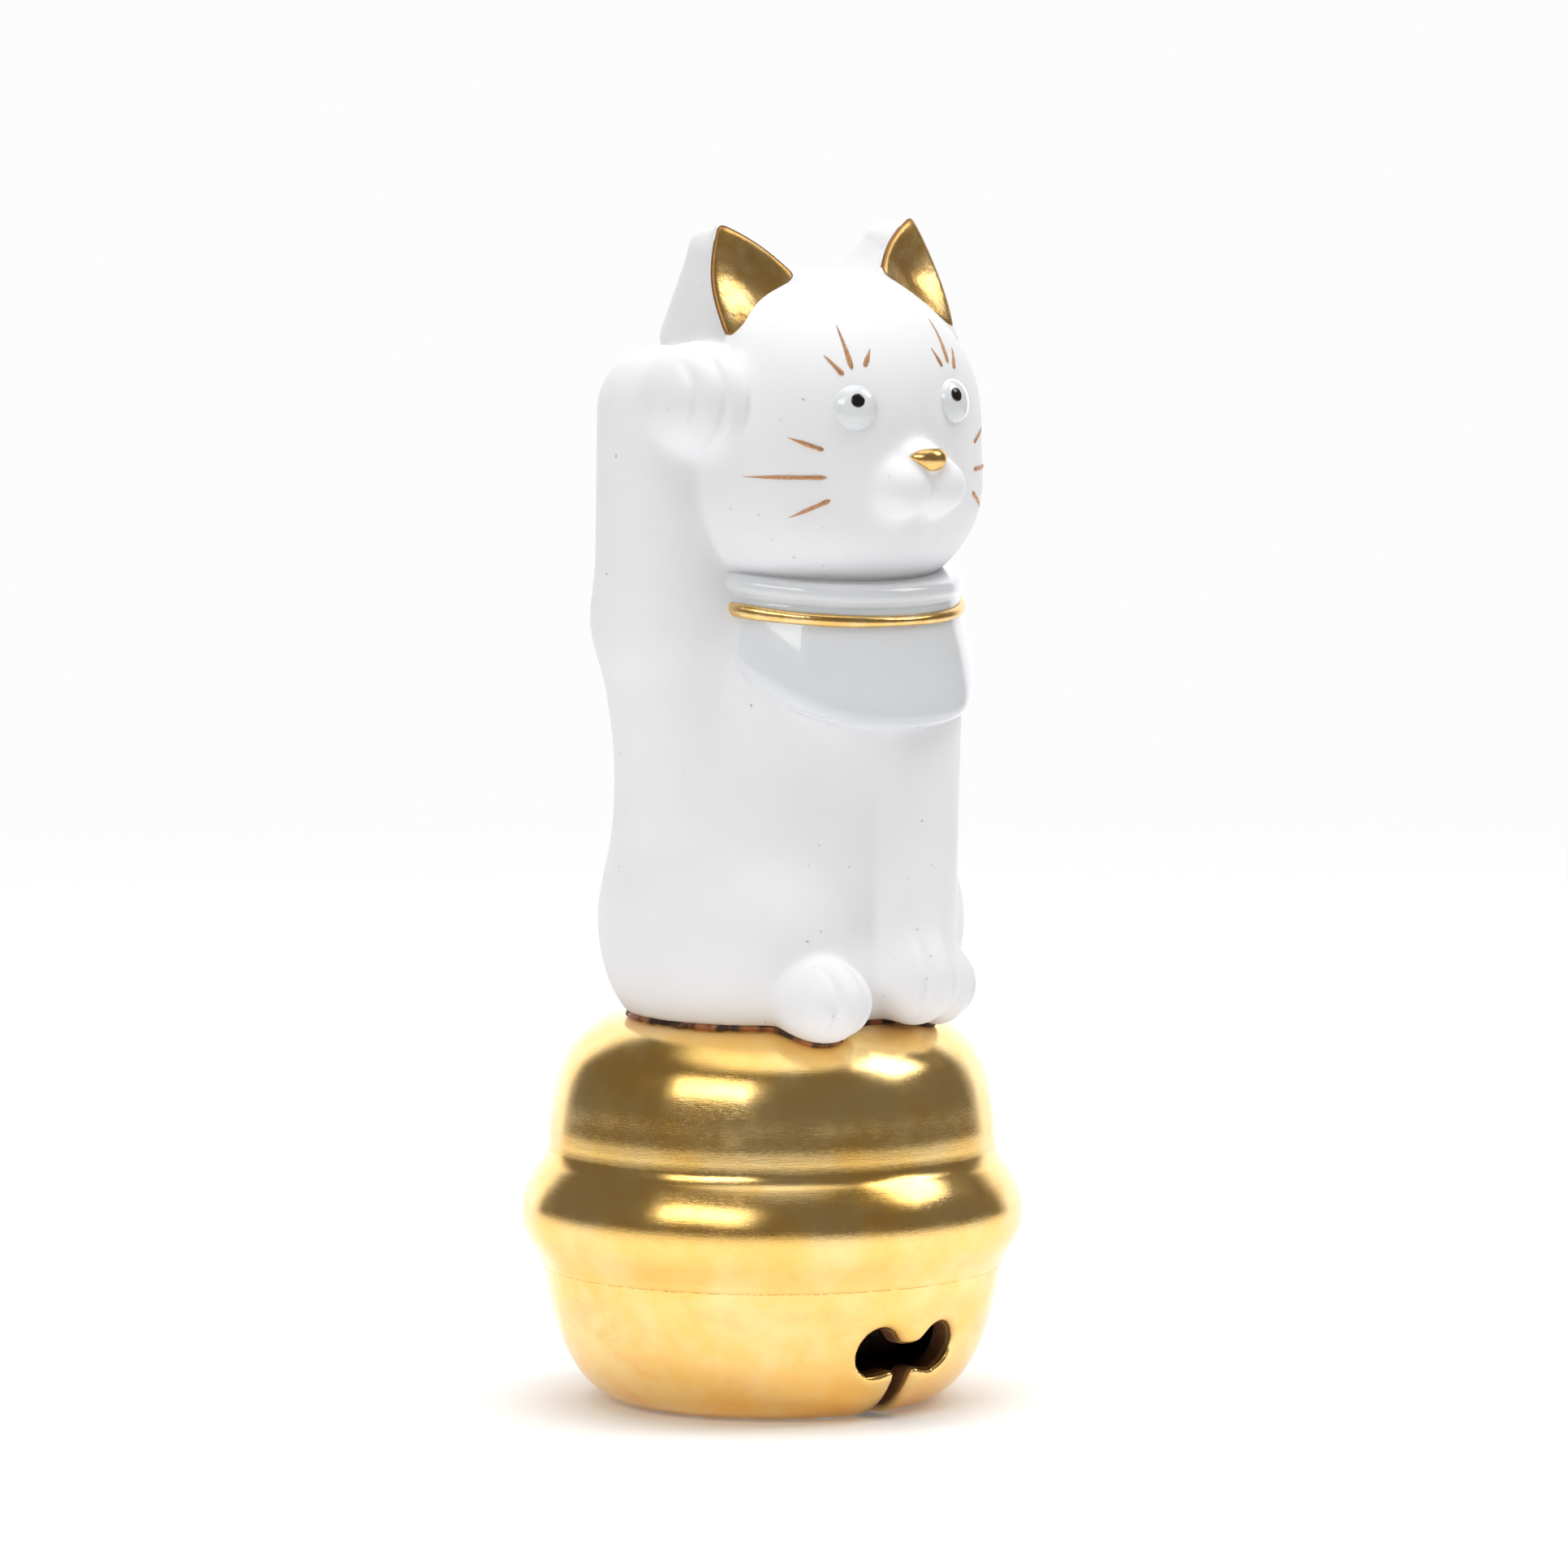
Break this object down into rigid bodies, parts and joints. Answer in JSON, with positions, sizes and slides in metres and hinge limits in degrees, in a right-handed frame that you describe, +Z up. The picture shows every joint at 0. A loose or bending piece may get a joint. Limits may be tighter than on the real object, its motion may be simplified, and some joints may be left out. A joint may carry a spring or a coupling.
{
  "type": "beckoning cat figurine",
  "caption": "White bisque porcelain beckoning cat with a glazed bib, seated on a round gilt porcelain bell with a heart-shaped slot and a loose pellet inside.",
  "frame": {"origin": "centre of the bell's foot, on the surface the figurine stands on", "axes": "+Z up along the bell's axis; the cat faces -Y, its raised right paw towards -X"},
  "size_m": [0.047, 0.047, 0.1113],
  "materials": {
    "gold_lustre": "burnished gold lustre fired over glazed porcelain",
    "bisque": "unglazed white bisque porcelain, matte",
    "celadon_glaze": "glossy pale blue-grey celadon glaze",
    "eye_glaze": "glossy white glaze with a bluish cast",
    "pupil_black": "glossy black overglaze paint",
    "painted_gold": "thin brushed coppery gold paint",
    "pellet_clay": "rough unglazed fired clay",
    "seat_joint": "dark brown fired joint with a copper edge"
  },
  "bodies": {
    "root": {"bell_lower_bowl": "gold_lustre", "bell_upper_dome": "gold_lustre", "seat_lute": "seat_joint", "cat_body_shell": "bisque", "cat_head_shell": "bisque", "resting_foreleg": "bisque", "right_hind_foot": "bisque", "left_hind_foot": "bisque", "tail": "bisque", "raised_arm": "bisque", "right_ear": "bisque", "left_ear": "bisque", "neck_collar": "celadon_glaze", "bib_flap": "celadon_glaze", "bib_gold_line": "painted_gold", "nose_gilding": "gold_lustre", "right_ear_gilding": "gold_lustre", "left_ear_gilding": "gold_lustre", "right_eye": "eye_glaze", "left_eye": "eye_glaze", "right_pupil": "pupil_black", "left_pupil": "pupil_black", "right_brow_lines": "painted_gold", "left_brow_lines": "painted_gold", "right_whisker_lines": "painted_gold", "left_whisker_lines": "painted_gold"},
    "pellet": {"bell_pellet": "pellet_clay"}
  },
  "joints": [
    {"name": "pellet_roll", "type": "slide", "parent": "root", "child": "pellet", "axis": [1, 0, 0], "range_m": [-0.0236, 0]}
  ]
}
